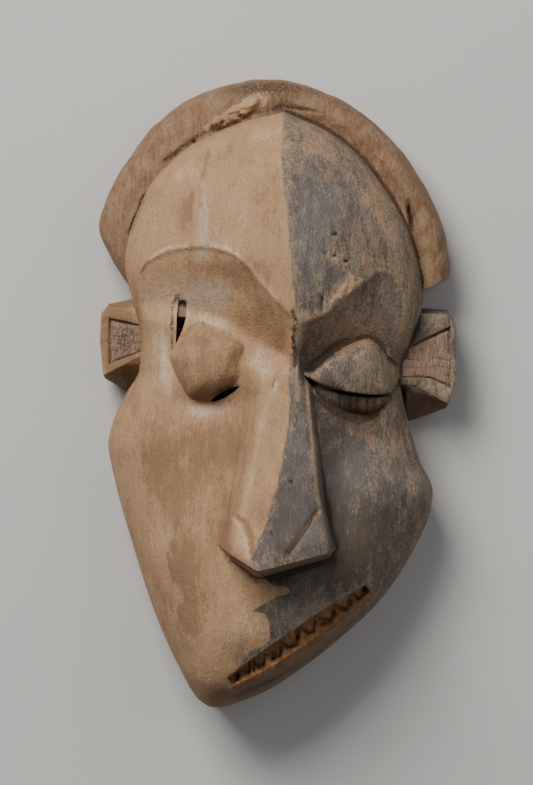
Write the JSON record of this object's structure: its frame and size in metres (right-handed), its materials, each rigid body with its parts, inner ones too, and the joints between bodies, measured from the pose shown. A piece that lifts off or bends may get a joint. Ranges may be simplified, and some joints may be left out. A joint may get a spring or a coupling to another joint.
{
  "type": "carved wooden face mask",
  "caption": "Hollow carved wooden face mask with a long bent nose, slanting toothed mouth, uneven eyes and block ears, lying face up on its flat back rim.",
  "frame": {"origin": "on the plane of the flat back rim, under the middle of the mask's box", "axes": "+X to the right of the face as seen from the front, +Y towards the crown, +Z out of the face"},
  "size_m": [0.1716, 0.3008, 0.1174],
  "materials": {
    "painted_wood": "matt clay and soot colours, half pale and half dark, worn to bare brown wood"
  },
  "bodies": {
    "root": {"carved_mask": "painted_wood"}
  },
  "joints": []
}
